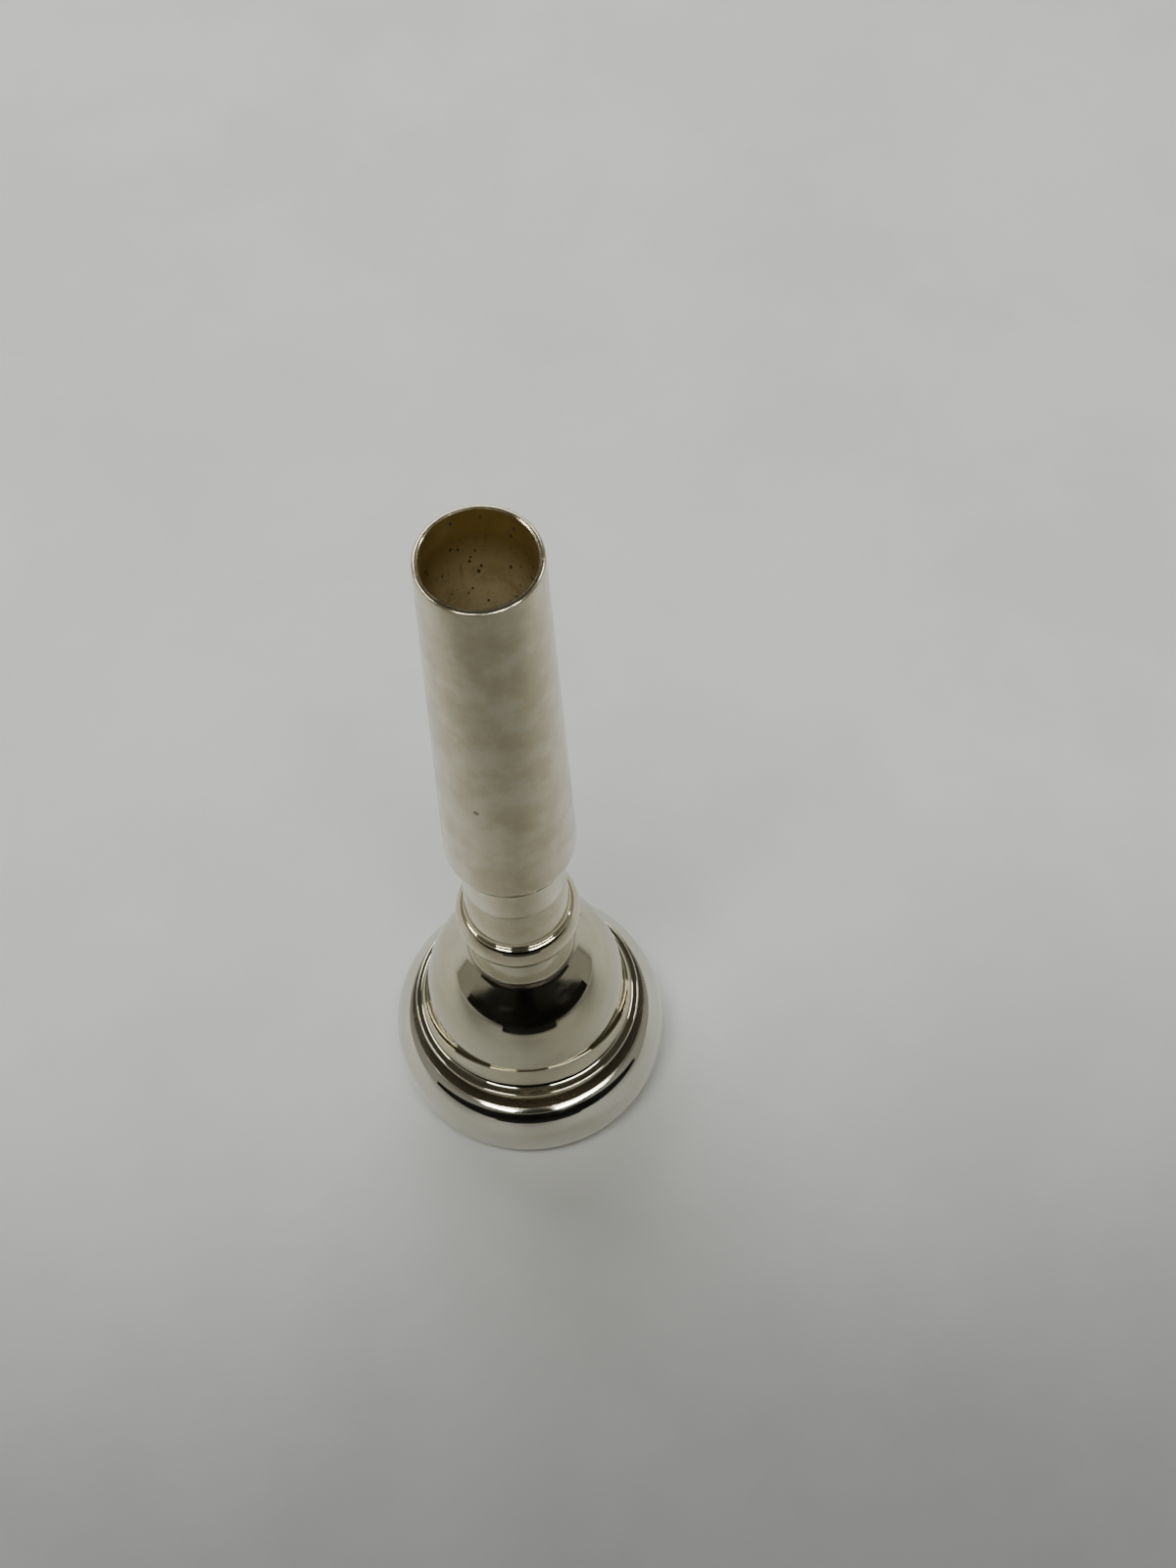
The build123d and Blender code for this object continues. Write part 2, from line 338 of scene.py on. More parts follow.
@dataclass(frozen=True)
class TarnishedBore:
    """Bare brass inside the backbore: brown tarnish with dark specks and a run."""

    name: str
    brass: Colour = (0.60, 0.50, 0.27)
    brown: Colour = (0.20, 0.135, 0.03)
    speck: Colour = (0.035, 0.022, 0.010)
    lip_low: float = 77.0  # from here up to lip_high it turns wholly brown
    lip_high: float = 85.5

    def make(self) -> bpy.types.Material:
        """Builds the material."""
        material = bpy.data.materials.new(self.name)
        material.use_nodes = True
        graph = Graph(material.node_tree)
        on = Turned(graph)
        cloud = graph.noise(on.point, 0.35, 5.0, 0.65).ramp(0.38, 0.66)
        runs = graph.noise(on.stretched(2.2, 0.16), 1.0, 4.0, 0.6).ramp(0.60, 0.72)
        speckled = graph.noise(on.stretched(1.0, 0.6), 0.9, 2.0).ramp(0.44, 0.56)
        specks = graph.cells(on.stretched(1.0, 0.6), 1.5).ramp(0.14, 0.26, 1.0, 0.0) * speckled
        specks = specks.larger(graph.cells(on.point, 3.2).ramp(0.12, 0.2, 1.0, 0.0) * speckled)
        lip = on.height.ramp(self.lip_low, self.lip_high)
        colour = graph.mix((cloud * 0.5).larger(lip), self.brass, self.brown)
        colour = graph.mix((runs * 0.35).larger(specks), colour, self.speck)
        rough = 0.42 + 0.16 * cloud + 0.2 * specks
        height = (cloud * 0.6 + specks * 1.5 + graph.noise(on.point, 6.0, 3.0) * 0.5) * 0.004 * MM
        normal = graph.bump(height)
        metal = 0.45 - 0.4 * specks
        graph.surface(Base_Color=colour, Metallic=metal, Roughness=rough, Normal=normal)
        return material


@dataclass(frozen=True)
class ScrewMetal:
    """Thinly plated screw threads, mottled at random between a bright tone and a brown one."""

    name: str
    crest: Colour = (0.78, 0.70, 0.50)
    root: Colour = (0.34, 0.24, 0.10)

    def make(self) -> bpy.types.Material:
        """Builds the material."""
        material = bpy.data.materials.new(self.name)
        material.use_nodes = True
        graph = Graph(material.node_tree)
        on = Turned(graph)
        cloud = graph.noise(on.point, 0.9, 5.0, 0.65).ramp(0.35, 0.65)
        tool = graph.noise(on.stretched(0.3, 22.0), 1.0, 2.0, 0.6)
        colour = graph.mix(cloud * 0.75, self.crest, self.root)
        rough = 0.18 + 0.16 * cloud + 0.08 * tool
        normal = graph.bump(tool * 0.002 * MM)
        graph.surface(Base_Color=colour, Metallic=1.0, Roughness=rough, Normal=normal)
        return material


@dataclass(frozen=True)
class PaleTable:
    """Matt pale table with a faint mottle and fine grain."""

    name: str
    light: Colour = (0.60, 0.61, 0.60)
    dark: Colour = (0.55, 0.56, 0.55)

    def make(self) -> bpy.types.Material:
        """Builds the material."""
        material = bpy.data.materials.new(self.name)
        material.use_nodes = True
        graph = Graph(material.node_tree)
        on = Turned(graph)
        mottle = graph.noise(on.point, 0.03, 5.0, 0.6).ramp(0.35, 0.65)
        grain = graph.noise(on.point, 1.6, 4.0, 0.7)
        colour = graph.mix(mottle, self.light, self.dark)
        rough = 0.55 + 0.15 * grain
        normal = graph.bump(grain * 0.01 * MM)
        graph.surface(Base_Color=colour, Roughness=rough, Normal=normal)
        return material


@dataclass(frozen=True)
class CardPaint:
    """Matt paint of the dark cards that the metal reflects."""

    name: str
    shade: Colour

    def make(self) -> bpy.types.Material:
        """Builds the material."""
        material = bpy.data.materials.new(self.name)
        material.use_nodes = True
        graph = Graph(material.node_tree)
        weave = graph.noise(Turned(graph).point, 0.01, 2.0)
        colour = graph.mix(weave, self.shade, tuple(2 * part for part in self.shade))
        graph.surface(Base_Color=colour, Roughness=0.9)
        return material


class Zone(Enum):
    """Zones of a turned piece; the value is the material slot's number."""

    OUTSIDE = 0
    INSIDE = 1
    SCREW = 2


# --------------------------------------------------------------------- outlines


class Outline:
    """Closed outline of a turned piece, drawn stretch by stretch in millimetres."""

    def __init__(self, start: Point) -> None:
        """Starts the outline at a (radius, height)."""
        self.start = start
        self.here = start
        self.stretches: list[tuple[Zone, list[Point]]] = []

    def _append(self, zone: Zone, points: list[Point]) -> "Outline":
        """Adds a stretch from the present point through these points."""
        self.stretches.append((zone, [self.here, *points]))
        self.here = points[-1]
        return self

    def line(self, zone: Zone, *points: Point) -> "Outline":
        """Adds straight runs through points."""
        return self._append(zone, list(points))

    def oval(self, zone: Zone, centre: Point, half: Point, start: float, end: float) -> "Outline":
        """Adds an elliptic arc.

        Args:
            zone: The stretch's zone.
            centre: Centre of the ellipse.
            half: Half its width and half its height.
            start: Angle at which the arc starts, in degrees.
            end: Angle at which it ends, less than start to go backwards.

        Returns:
            The outline itself.
        """
        count = max(4, round(abs(end - start) / ARC_STEP))
        angles = [radians(start + (end - start) * i / count) for i in range(1, count + 1)]
        return self._append(
            zone, [(centre[0] + half[0] * cos(t), centre[1] + half[1] * sin(t)) for t in angles]
        )

    def arc(self, zone: Zone, centre: Point, radius: float, start: float, end: float) -> "Outline":
        """Adds a circular arc between two angles in degrees."""
        return self.oval(zone, centre, (radius, radius), start, end)

    def blend(self, zone: Zone, corner: Point, end: Point) -> "Outline":
        """Adds a smooth curve that leaves towards a corner and arrives from it."""
        first = self.here
        points = []
        for i in range(1, BLEND_STEPS + 1):
            t = i / BLEND_STEPS
            weights = ((1 - t) ** 2, 2 * t * (1 - t), t * t)
            points.append(
                tuple(
                    weights[0] * first[k] + weights[1] * corner[k] + weights[2] * end[k]
                    for k in (0, 1)
                )
            )
        return self._append(zone, points)

    def close(self, zone: Zone) -> "Outline":
        """Closes the outline with a straight run to its start."""
        return self.line(zone, self.start)


@dataclass(frozen=True)
class Thread:
    """Helical thread ridge; side is 1 on a screw and -1 in a hole."""

    crest: float
    low: float
    high: float
    side: int
    pitch: float = THREAD_PITCH
    depth: float = THREAD_DEPTH
    root_half: float = 0.09
    flank: float = 30.0
    bury: float = 0.04
    steps_per_turn: int = 96

    @property
    def core(self) -> float:
        """Radius of the wall that the ridge stands on."""
        return self.crest - self.side * self.depth

    def ridge(self) -> bmesh.types.BMesh:
        """Spins the ridge's section along its helix and caps its ends.

        Returns:
            A new mesh that holds only the closed ridge.
        """
        base = self.pitch / 2 - self.root_half
        top = base - self.depth * tan(radians(self.flank))
        foot = self.core - self.side * self.bury
        low, high = self.low + base, self.high - base
        mesh = bmesh.new()
        section = [(foot, -base), (self.crest, -top), (self.crest, top), (foot, base)]
        corners = [mesh.verts.new((r * MM, 0.0, (low + z) * MM)) for r, z in section]
        edges = [mesh.edges.new((corners[i - 1], corners[i])) for i in range(len(corners))]
        turns = (high - low) / self.pitch
        steps = round(turns * self.steps_per_turn)
        bmesh.ops.spin(
            mesh,
            geom=corners + edges,
            cent=(0, 0, 0),
            axis=(0, 0, 1),
            dvec=(0, 0, (high - low) * MM / steps),
            angle=FULL_TURN * turns,
            steps=steps,
            use_merge=False,
            use_duplicate=False,
        )
        ends = [edge for edge in mesh.edges if edge.is_boundary]
        bmesh.ops.holes_fill(mesh, edges=ends, sides=0)
        for face in mesh.faces:
            face.material_index = Zone.SCREW.value
        return mesh


def add_into(mesh: bmesh.types.BMesh, part: bmesh.types.BMesh) -> None:
    """Moves a part's geometry into a mesh and frees the part."""
    data = bpy.data.meshes.new("part")
    part.to_mesh(data)
    part.free()
    mesh.from_mesh(data)
    bpy.data.meshes.remove(data)


def turn_stretch(zone: Zone, points: list[Point]) -> bmesh.types.BMesh:
    """Spins one stretch of an outline through a full turn.

    Args:
        zone: Zone of its faces.
        points: Its (radius, height) points in millimetres.

    Returns:
        A new mesh that holds only this stretch.
    """
    part = bmesh.new()
    verts = [part.verts.new((r * MM, 0.0, z * MM)) for r, z in points]
    edges = [part.edges.new(pair) for pair in zip(verts, verts[1:])]
    bmesh.ops.spin(
        part,
        geom=verts + edges,
        cent=(0, 0, 0),
        axis=(0, 0, 1),
        angle=FULL_TURN,
        steps=TURN_STEPS,
        use_merge=True,
        use_duplicate=False,
    )
    for face in part.faces:
        face.material_index = zone.value
    return part


def spin_piece(name: str, outline: Outline, threads: tuple[Thread, ...]) -> bpy.types.Object:
    """Spins an outline into a closed piece and adds its thread ridges.

    Args:
        name: Name of the piece.
        outline: The closed outline.
        threads: Threads that stand on its walls.

    Returns:
        The piece, at the origin, with each face's material index set by its zone.
    """
    mesh = bmesh.new()
    for zone, points in outline.stretches:
        add_into(mesh, turn_stretch(zone, points))
    bmesh.ops.remove_doubles(mesh, verts=mesh.verts, dist=MERGE_DISTANCE)
    for thread in threads:
        add_into(mesh, thread.ridge())
    bmesh.ops.recalc_face_normals(mesh, faces=mesh.faces)
    for face in mesh.faces:
        face.smooth = True
    data = bpy.data.meshes.new(name)
    mesh.to_mesh(data)
    mesh.free()
    data.set_sharp_from_angle(angle=SHARP_ANGLE)
    piece = bpy.data.objects.new(name, data)
    bpy.context.scene.collection.objects.link(piece)
    return piece


def dress(piece: bpy.types.Object, finishes: dict[Zone, Any]) -> None:
    """Gives a piece one material for each zone, in the zones' order."""
    for zone in Zone:
        piece.data.materials.append(finishes[zone].make())


# ---------------------------------------------------------------- sub-assemblies


@dataclass(frozen=True)
class Seams:
    """Heights and radii in millimetres that the CAD frame gives."""

    rim_radius: float
    rim_height: float
    spigot_end: float
    neck_seam: float
    stud_end: float
    length: float

    @classmethod
    def from_frame(cls) -> "Seams":
        """Reads them from the boxes of the three CAD nodes."""
        rim, cup, shank = (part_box(node) for node in ("rim", "cup", "backbore_shank"))
        return cls(
            rim_radius=rim[1][0] / MM,
            rim_height=rim[1][2] / MM,
            spigot_end=cup[0][2] / MM,
            neck_seam=cup[1][2] / MM,
            stud_end=shank[0][2] / MM,
            length=shank[1][2] / MM,
        )


@dataclass
class RimRing:
    """The rim: the rounded ring that the mouthpiece stands on."""

    seams: Seams
    width: float = 5.51
    land_inset: float = 3.79
    land_half: float = 0.15
    band_low: float = 4.05
    band_high: float = 5.84
    crown: float = 4.93
    bite_height: float = 1.9
    mouth_inset: float = 0.15
    seat: float = 0.95
    collar_step: float = 0.5
    chamfer: float = 0.3
    ledge_gap: float = 0.1
    clearance: float = 0.05
    thread_turns: float = 6.0

    @property
    def thread_length(self) -> float:
        """Length of every thread of the mouthpiece."""
        return THREAD_PITCH * self.thread_turns

    @property
    def top_radius(self) -> float:
        """Radius of the rim's top edge."""
        lift = asin((self.seams.rim_height - self.band_high) / self.crown)
        return self.seams.rim_radius - self.crown * (1 - cos(lift))

    @property
    def screw_radius(self) -> float:
        """Crest radius of the cup's screw."""
        return self.top_radius - self.collar_step - self.seat

    def build(self) -> bpy.types.Object:
        """Builds and dresses the rim, and puts it in the frame.

        Returns:
            The piece.
        """
        radius, top = self.seams.rim_radius, self.seams.rim_height
        land = radius - self.land_inset
        inner, outer = land - self.land_half, land + self.land_half
        lift = degrees(asin((top - self.band_high) / self.crown))
        hole = self.screw_radius + self.clearance
        thread_high = top - self.chamfer
        thread = Thread(hole, thread_high - self.thread_length, thread_high, -1)
        ledge = self.seams.spigot_end - self.ledge_gap
        relief = thread.core + self.clearance
        bite = radius - self.width
        outline = (
            Outline((inner, 0.0))
            .line(Zone.OUTSIDE, (outer, 0.0))
            .oval(Zone.OUTSIDE, (outer, self.band_low), (radius - outer, self.band_low), 270, 360)
            .line(Zone.OUTSIDE, (radius, self.band_high))
            .arc(Zone.OUTSIDE, (radius - self.crown, self.band_high), self.crown, 0, lift)
            .line(Zone.OUTSIDE, (hole + self.chamfer, top))
            .line(Zone.SCREW, (hole + self.chamfer * 0.2, top - self.chamfer * 0.8))
            .line(Zone.SCREW, (thread.core, thread_high), (thread.core, thread.low))
            .line(Zone.SCREW, (relief, thread.low), (relief, ledge))
            .line(Zone.INSIDE, (bite - self.mouth_inset, ledge), (bite, self.bite_height))
            .oval(Zone.INSIDE, (inner, self.bite_height), (inner - bite, self.bite_height), 180, 270)
        )
        piece = spin_piece("rim_ring", outline, (thread,))
        plate = PolishedPlate(
            "rim_plate",
            tint=(0.66, 0.645, 0.55),
            yellowed=(0.60, 0.58, 0.465),
            # Painted shade with tarnish in the joint at the rim's top, where the cup sits
            tarnish_and_shade_rings=((top, 0.25),),
        )
        lips = PolishedPlate("rim_lip_plate", gloss=0.07, haze=0.16)
        dress(piece, {Zone.OUTSIDE: plate, Zone.INSIDE: lips, Zone.SCREW: ScrewMetal("rim_screw")})
        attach(piece, "rim")
        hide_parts("rim")
        return piece


@dataclass
class CupBody:
    """The cup: bowl and throat inside, collar, flare, bell and neck outside."""

    seams: Seams
    rim: RimRing
    bowl: float = 9.2
    throat: float = 1.83
    throat_round: Point = (1.07, 1.9)
    collar_height: float = 2.05
    collar_round: float = 0.25
    collar_flat: float = 0.15
    flare: Point = (1.1, 3.0)
    bell_height: float = 9.04
    bell_lean: float = 0.84
    neck_base: float = 4.92
    neck_taper: float = 0.1
    fillet_width: float = 0.61
    fillet_rise: float = 0.22
    neck_wall: float = 0.7
    edge: float = 0.1

    @property
    def collar_top(self) -> float:
        """Height of the collar's top."""
        return self.seams.rim_height + self.collar_height

    def bowl_outline(self) -> Outline:
        """The inside from the spigot's end up through the throat."""
        mouth = self.seams.rim_radius - self.rim.width - self.rim.mouth_inset
        centre = (mouth - self.bowl, self.seams.spigot_end)
        stop = acos((self.throat + self.throat_round[0] - centre[0]) / self.bowl)
        edge = (centre[0] + self.bowl * cos(stop), centre[1] + self.bowl * sin(stop))
        corner = (self.throat, edge[1] + (edge[0] - self.throat) / tan(stop))
        ledge = self.seams.stud_end - self.rim.ledge_gap
        return (
            Outline((mouth, self.seams.spigot_end))
            .arc(Zone.INSIDE, centre, self.bowl, 0, degrees(stop))
            .blend(Zone.INSIDE, corner, (self.throat, edge[1] + self.throat_round[1]))
            .line(Zone.INSIDE, (self.throat, ledge))
        )

    def build(self) -> bpy.types.Object:
        """Builds and dresses the cup, and puts it in the frame.

        Returns:
            The piece.
        """
        rim, top, seam = self.rim, self.seams.rim_height, self.seams.neck_seam
        collar = rim.top_radius - rim.collar_step
        flare_r = collar - self.collar_round - self.collar_flat
        bell_low = self.collar_top + self.flare[1]
        bell_base = flare_r - self.flare[0]
        bell_top_r = self.neck_base + self.fillet_width
        bell_top = bell_low + self.bell_height
        run = bell_base - bell_top_r
        slope = 2 * self.bell_lean * atan2(run, self.bell_height)
        bell = (self.bell_height * sin(slope) - run * cos(slope)) / (1 - cos(slope))
        bell_bend = (bell_base - bell * (1 - cos(slope)), bell_low + bell * sin(slope))
        fillet_middle = bell_top + self.fillet_width / tan(slope)
        neck_top_r = self.neck_base - self.neck_taper
        relief = neck_top_r - self.neck_wall
        ledge = self.seams.stud_end - rim.ledge_gap
        hole_high = seam - rim.chamfer
        hole_low = hole_high - rim.thread_length
        hole = Thread(relief - rim.clearance - THREAD_DEPTH, hole_low, hole_high, -1)
        screw_low = self.seams.spigot_end + rim.chamfer
        screw_high = screw_low + rim.thread_length
        screw = Thread(rim.screw_radius, screw_low, screw_high, 1)
        round_centre = (collar - self.collar_round, self.collar_top - self.collar_round)
        outline = (
            self.bowl_outline()
            .line(Zone.SCREW, (relief, ledge), (relief, hole_low), (hole.core, hole_low))
            .line(Zone.SCREW, (hole.core, hole_high), (hole.crest + rim.chamfer, seam))
            .line(Zone.OUTSIDE, (neck_top_r - self.edge, seam), (neck_top_r, seam - self.edge))
            .line(Zone.OUTSIDE, (self.neck_base, fillet_middle + self.fillet_rise))
            .blend(Zone.OUTSIDE, (self.neck_base, fillet_middle), (bell_top_r, bell_top))
            .line(Zone.OUTSIDE, bell_bend)
            .arc(Zone.OUTSIDE, (bell_base - bell, bell_low), bell, degrees(slope), 0)
            .oval(Zone.OUTSIDE, (flare_r, bell_low), self.flare, 180, 270)
            .line(Zone.OUTSIDE, (round_centre[0], self.collar_top))
            .arc(Zone.OUTSIDE, round_centre, self.collar_round, 90, 0)
            .line(Zone.OUTSIDE, (collar, top), (screw.core - rim.clearance, top))
            .line(Zone.SCREW, (screw.core - rim.clearance, screw_high), (screw.core, screw_high))
            .line(Zone.SCREW, (screw.core, self.seams.spigot_end))
            .close(Zone.INSIDE)
        )
        piece = spin_piece("cup_body", outline, (hole, screw))
        plate = PolishedPlate(
            "cup_plate",
            # Painted shade with tarnish in the joint on the rim and in the fillet at the bell's top
            tarnish_and_shade_rings=((top + 0.15, 0.5), (bell_top + 0.5, 0.35)),
            stains=((114.0, 6.4, 22.85, 0.4),),
        )
        bowl = PolishedPlate("bowl_plate", gloss=0.09, haze=0.18)
        dress(piece, {Zone.OUTSIDE: plate, Zone.INSIDE: bowl, Zone.SCREW: ScrewMetal("cup_screw")})
        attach(piece, "cup")
        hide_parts("cup")
        return piece


@dataclass
class BackboreShank:
    """The upper piece: screwed stud, bead, neck, shoulder, shank and backbore."""

    seams: Seams
    rim: RimRing
    cup: CupBody
    bead: Point = (1.22, 2.0)
    bead_inset: float = 0.3
    neck_length: float = 14.64
    neck_step: float = 0.03
    neck_taper: float = 0.27
    neck_corner: float = 0.5
    scribed_line: tuple[float, float, float] = (9.25, 0.14, 0.035)
    shoulder_height: float = 2.0
    shoulder_corner: float = 0.5
    shoulder_undercut: float = 70.0
    end_radius: float = 4.87
    taper: float = 0.0245
    end_round: float = 0.3
    end_wall: float = 0.485
    mouth_chamfer: float = 0.1

    def neck_points(self, radius: float, low: float, under: float) -> list[Point]:
        """The upper neck, with its scribed line, up to the shoulder's corner.

        Args:
            radius: Its radius at the bead.
            low: Height at which it leaves the bead.
            under: Height of the shoulder's underside.

        Returns:
            Its points.
        """
        top = under - self.shoulder_corner
        height, half, depth = self.scribed_line
        middle = self.seams.neck_seam + height
        steepness = self.neck_taper / (top - low)
        edges = [(radius - steepness * (z - low), z) for z in (middle - half, middle, middle + half)]
        edges[1] = (edges[1][0] - depth, middle)
        return [*edges, (radius - self.neck_taper, top)]

    def outside(self, outline: Outline) -> Outline:
        """Draws the outside from the bead's underside to the end of the shank.

        Args:
            outline: The outline so far, which has reached the bead's underside.

        Returns:
            The same outline.
        """
        seam = self.seams.neck_seam
        bead = (self.cup.neck_base - self.bead_inset, seam + self.bead[1])
        neck_low_r = self.cup.neck_base - self.neck_step
        neck_high_r = neck_low_r - self.neck_taper
        lean = acos((neck_low_r - bead[0]) / self.bead[0])
        corner = (neck_low_r, bead[1] + self.bead[1] * sin(lean))
        stop = degrees(lean - self.neck_corner / 2 / self.bead[0])
        under = seam + self.neck_length
        low = under + self.shoulder_height
        low_r = self.end_radius + self.taper * (self.seams.length - low)
        wide = low_r - neck_high_r
        turn = radians(-self.shoulder_undercut)
        under_point = (neck_high_r + wide * cos(turn), low + self.shoulder_height * sin(turn))
        slope = self.shoulder_height / wide / tan(-turn)
        inner = (neck_high_r, under_point[1] - slope * (under_point[0] - neck_high_r))
        end_low = self.seams.length - self.end_round
        return (
            outline.oval(Zone.OUTSIDE, bead, self.bead, -90, stop)
            .blend(Zone.OUTSIDE, corner, (neck_low_r, corner[1] + self.neck_corner))
            .line(Zone.OUTSIDE, *self.neck_points(neck_low_r, corner[1], under))
            .blend(Zone.OUTSIDE, inner, under_point)
            .oval(
                Zone.OUTSIDE,
                (neck_high_r, low),
                (wide, self.shoulder_height),
                -self.shoulder_undercut,
                0,
            )
            .line(Zone.OUTSIDE, (self.end_radius, end_low))
            .arc(Zone.OUTSIDE, (self.end_radius - self.end_round, end_low), self.end_round, 0, 90)
        )

    def build(self) -> bpy.types.Object:
        """Builds and dresses the upper piece, and puts it in the frame.

        Returns:
            The piece.
        """
        rim, cup, seams = self.rim, self.cup, self.seams
        wall = cup.neck_base - cup.neck_taper - cup.neck_wall
        crest = wall - THREAD_DEPTH - 2 * rim.clearance
        screw_low = seams.stud_end + rim.chamfer
        screw_high = screw_low + rim.thread_length
        screw = Thread(crest, screw_low, screw_high, 1)
        relief = screw.core - rim.clearance
        mouth = self.end_radius - self.end_wall
        outline = Outline((screw.core, seams.stud_end))
        outline.line(Zone.SCREW, (screw.core, screw_high), (relief, screw_high))
        outline.line(Zone.SCREW, (relief, seams.neck_seam))
        outline.line(Zone.OUTSIDE, (cup.neck_base - self.bead_inset, seams.neck_seam))
        self.outside(outline)
        outline.line(Zone.OUTSIDE, (mouth + self.mouth_chamfer, seams.length))
        outline.line(Zone.OUTSIDE, (mouth, seams.length - self.mouth_chamfer))
        outline.line(Zone.INSIDE, (cup.throat, seams.stud_end))
        outline.close(Zone.SCREW)
        piece = spin_piece("backbore_and_shank", outline, (screw,))
        dress(
            piece,
            {
                Zone.OUTSIDE: RubbedPlate("shank_plate"),
                Zone.INSIDE: TarnishedBore("backbore_brass"),
                Zone.SCREW: ScrewMetal("stud_screw"),
            },
        )
        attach(piece, "backbore")
        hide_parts("backbore_shank")
        return piece


# ----------------------------------------------------------------------- studio


class Seen(Enum):
    """How a lamp shows: as a light and a reflection, or as only one of them."""

    FULLY = "fully"
    LIGHTS_ONLY = "lights only"
    MIRRORED_ONLY = "mirrored only"


@dataclass(frozen=True)
class Lamp:
    """Rectangular lamp that faces the mouthpiece; sizes in metres.

    Azimuth is in degrees from the front, positive to the right, and glow is the
    radiance of its face.
    """

    name: str
    azimuth: float
    elevation: float
    distance: float
    wide: float
    tall: float
    glow: float
    seen: Seen = Seen.FULLY
    colour: Colour = (1.0, 0.98, 0.94)

    def place(self, aim: Vector) -> None:
        """Adds the lamp to the scene, facing a point."""
        light = bpy.data.lights.new(self.name, "AREA")
        light.shape = "RECTANGLE"
        light.size = self.wide
        light.size_y = self.tall
        light.energy = self.glow * pi * self.wide * self.tall
        light.color = self.colour
        lamp = bpy.data.objects.new(self.name, light)
        lamp.visible_camera = False
        lamp.visible_diffuse = self.seen is not Seen.MIRRORED_ONLY
        lamp.visible_glossy = self.seen is not Seen.LIGHTS_ONLY
        around, up = radians(self.azimuth), radians(self.elevation)
        way = Vector((sin(around) * cos(up), -cos(around) * cos(up), sin(up)))
        lamp.location = aim + self.distance * way
        lamp.rotation_euler = way.to_track_quat("Z", "Y").to_euler()
        bpy.context.scene.collection.objects.link(lamp)


@dataclass(frozen=True)
class Card:
    """Flat dark card that the camera doesn't see directly; sizes in metres."""

    name: str
    middle: tuple[float, float, float]
    wide: float
    tall: float
    tilt: float

    def place(self, finish: CardPaint) -> bpy.types.Object:
        """Adds the card to the scene, turned by its tilt about X."""
        mesh = bmesh.new()
        bmesh.ops.create_grid(mesh, x_segments=1, y_segments=1, size=0.5)
        turn = Matrix.Rotation(radians(self.tilt), 4, "X")
        size = Matrix.Diagonal((self.wide, self.tall, 1.0, 1.0))
        spot = Matrix.Translation(self.middle)
        bmesh.ops.transform(mesh, matrix=spot @ turn @ size, verts=mesh.verts)
        data = bpy.data.meshes.new(self.name)
        mesh.to_mesh(data)
        mesh.free()
        card = bpy.data.objects.new(self.name, data)
        card.data.materials.append(finish.make())
        card.visible_camera = False
        bpy.context.scene.collection.objects.link(card)
        return card


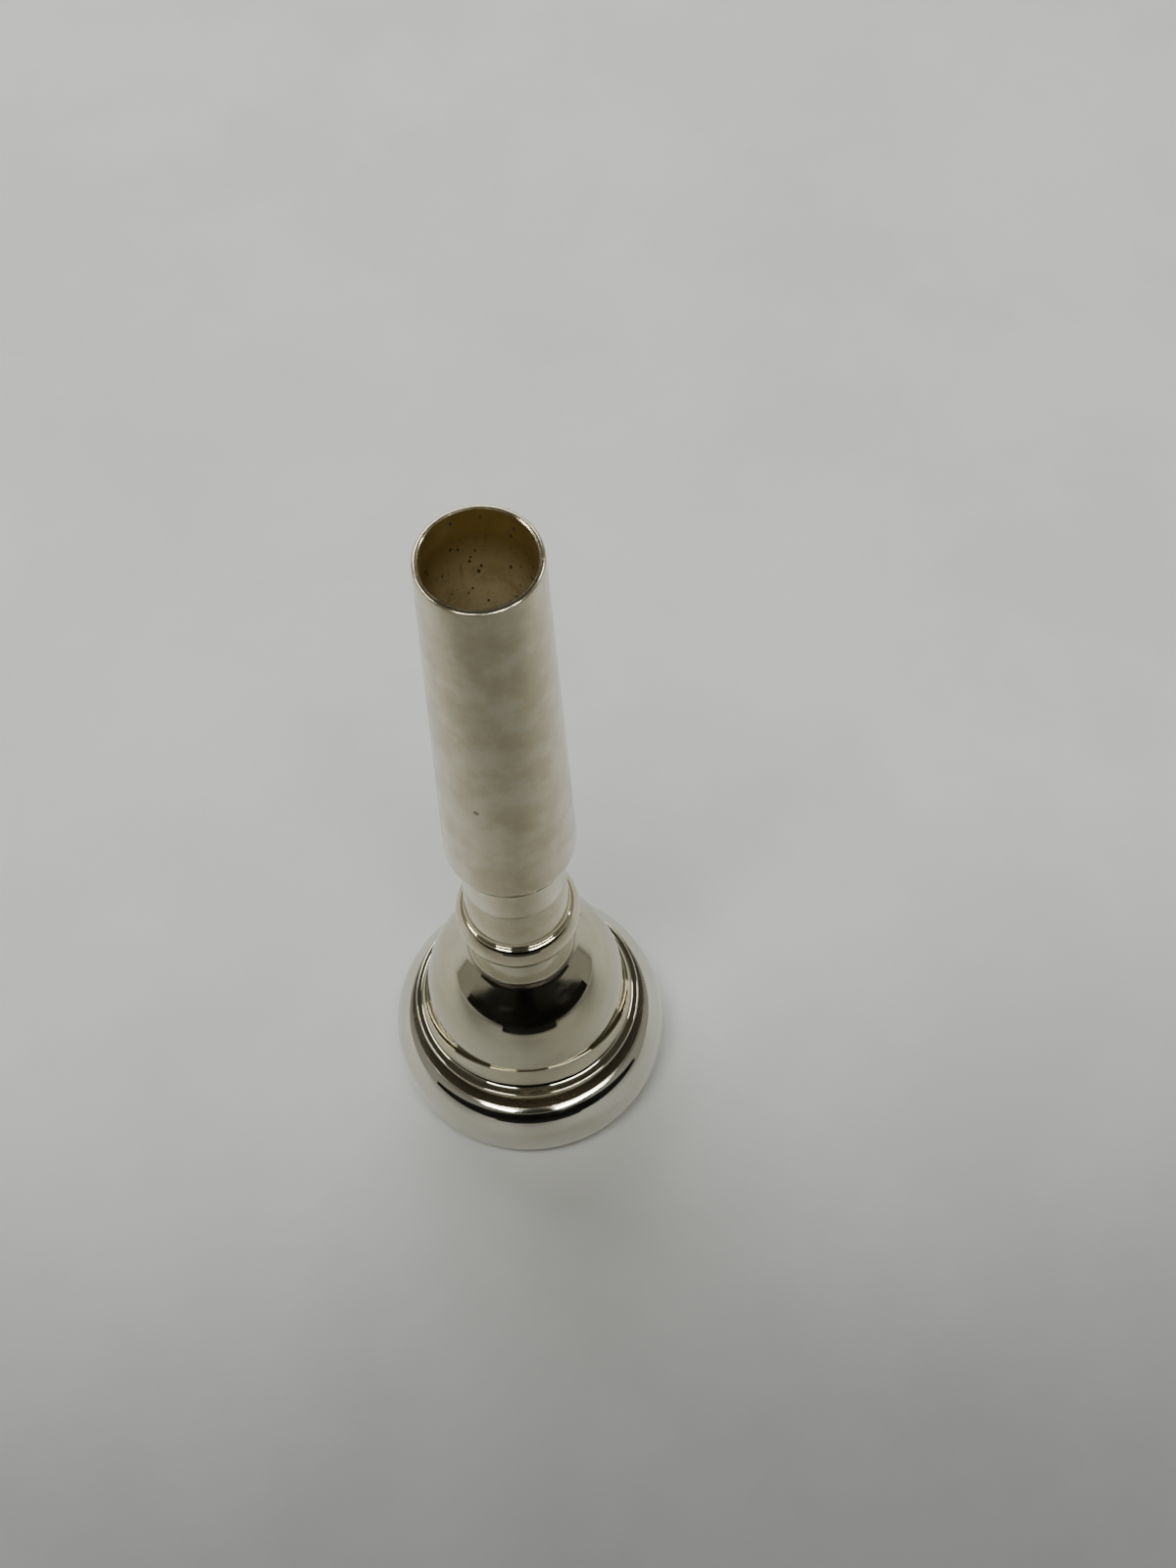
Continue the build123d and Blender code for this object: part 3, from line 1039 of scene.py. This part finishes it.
@dataclass
class Studio:
    """Table, soft light, glint lamps and the dark cards that the metal mirrors."""

    table_half: float = 3.0
    sky_low: Colour = (0.30, 0.30, 0.275)
    sky_high: Colour = (0.07, 0.066, 0.056)
    sky_strength: float = 1.0
    aim: Vector = field(default_factory=lambda: Vector((0.0, 0.0, 0.015)))
    lamps: tuple[Lamp, ...] = (
        Lamp("window_left", -162.0, 37.0, 1.1, 0.9, 0.4, 5.6, Seen.FULLY, (0.97, 0.99, 1.0)),
        Lamp("window_right", 160.0, 33.0, 1.3, 0.6, 0.4, 4.0, Seen.FULLY, (0.98, 0.99, 1.0)),
        Lamp("ceiling", -12.0, 72.0, 1.5, 0.9, 0.3, 23.0, Seen.LIGHTS_ONLY, (1.0, 0.995, 0.97)),
        Lamp("glint_left", -95.0, 28.0, 0.6, 0.40, 0.04, 22.0, Seen.MIRRORED_ONLY),
        Lamp("glint_left_front", -29.0, 27.0, 0.42, 0.15, 0.036, 34.0, Seen.MIRRORED_ONLY),
        Lamp("glint_right_front", 31.0, 27.0, 0.42, 0.28, 0.036, 34.0, Seen.MIRRORED_ONLY),
        Lamp("glint_right", 104.0, 28.0, 0.6, 0.22, 0.04, 22.0, Seen.MIRRORED_ONLY),
    )
    black: CardPaint = CardPaint("black_card", (0.002, 0.002, 0.0022))
    grey: CardPaint = CardPaint("grey_card", (0.16, 0.155, 0.125))
    black_cards: tuple[Card, ...] = (
        Card("dark_wide", (0.0, -0.68, 0.13), 4.2, 0.28, 90.0),
        Card("dark_foot", (-0.004, -0.13, 0.005), 0.13, 0.026, 90.0),
    )
    grey_cards: tuple[Card, ...] = (Card("grey_above", (0.0, -0.36, 0.255), 0.76, 0.545, -4.0),)

    def build(self) -> None:
        """Builds the whole studio."""
        self.lay_table()
        self.fill_sky()
        for lamp in self.lamps:
            lamp.place(self.aim)
        for card in self.black_cards:
            card.place(self.black)
        for card in self.grey_cards:
            card.place(self.grey)

    def lay_table(self) -> None:
        """Lays the pale table under the rim."""
        mesh = bmesh.new()
        bmesh.ops.create_grid(mesh, x_segments=8, y_segments=8, size=self.table_half)
        data = bpy.data.meshes.new("table")
        mesh.to_mesh(data)
        mesh.free()
        table = bpy.data.objects.new("table", data)
        table.data.materials.append(PaleTable("pale_table").make())
        bpy.context.scene.collection.objects.link(table)

    def fill_sky(self) -> None:
        """Fills the room with a soft light that falls off upwards."""
        world = bpy.data.worlds.new("room")
        world.use_nodes = True
        bpy.context.scene.world = world
        graph = Graph(world.node_tree)
        way = graph.add("ShaderNodeTexCoord", {}, {})["Generated"]
        up = graph.add("ShaderNodeSeparateXYZ", {}, {0: way})["Z"]
        colour = graph.mix(up.ramp(0.2, 0.75), self.sky_low, self.sky_high)
        values = {"Color": colour, "Strength": self.sky_strength}
        light = graph.add("ShaderNodeBackground", {}, values)["Background"]
        graph.add("ShaderNodeOutputWorld", {}, {"Surface": light})


@dataclass(frozen=True)
class Viewpoint:
    """The camera; its place is in metres and its angles are in degrees."""

    place: tuple[float, float, float] = (0.0, -0.0928, 0.2175)
    yaw: float = 4.39
    pitch: float = 60.53
    roll: float = -2.63
    lens: float = 51.05
    sensor: float = 36.0

    def set_up(self) -> None:
        """Adds the camera and makes it the scene's own."""
        yaw, pitch, roll = (radians(angle) for angle in (self.yaw, self.pitch, self.roll))
        ahead = Vector((sin(yaw) * cos(pitch), cos(yaw) * cos(pitch), -sin(pitch)))
        right = Vector((cos(yaw), -sin(yaw), 0.0))
        up = right.cross(ahead)
        rolled_right = cos(roll) * right + sin(roll) * up
        rolled_up = cos(roll) * up - sin(roll) * right
        data = bpy.data.cameras.new("camera")
        data.sensor_fit = "VERTICAL"
        data.sensor_height = self.sensor
        data.lens = self.lens
        data.clip_start = 0.005
        camera = bpy.data.objects.new("camera", data)
        turn = Matrix((rolled_right, rolled_up, -ahead)).transposed()
        camera.matrix_world = Matrix.Translation(self.place) @ turn.to_4x4()
        bpy.context.scene.collection.objects.link(camera)
        bpy.context.scene.camera = camera


def main() -> None:
    """Builds the three pieces, the studio and the camera, in that order."""
    logging.basicConfig(level=logging.INFO, format="%(name)s: %(message)s")
    seams = Seams.from_frame()
    rim = RimRing(seams)
    cup = CupBody(seams, rim)
    shank = BackboreShank(seams, rim, cup)
    for part in (rim, cup, shank):
        piece = part.build()
        log.info("%s: %d faces", piece.name, len(piece.data.polygons))
    Studio().build()
    Viewpoint().set_up()


if __name__ == "__main__":
    main()
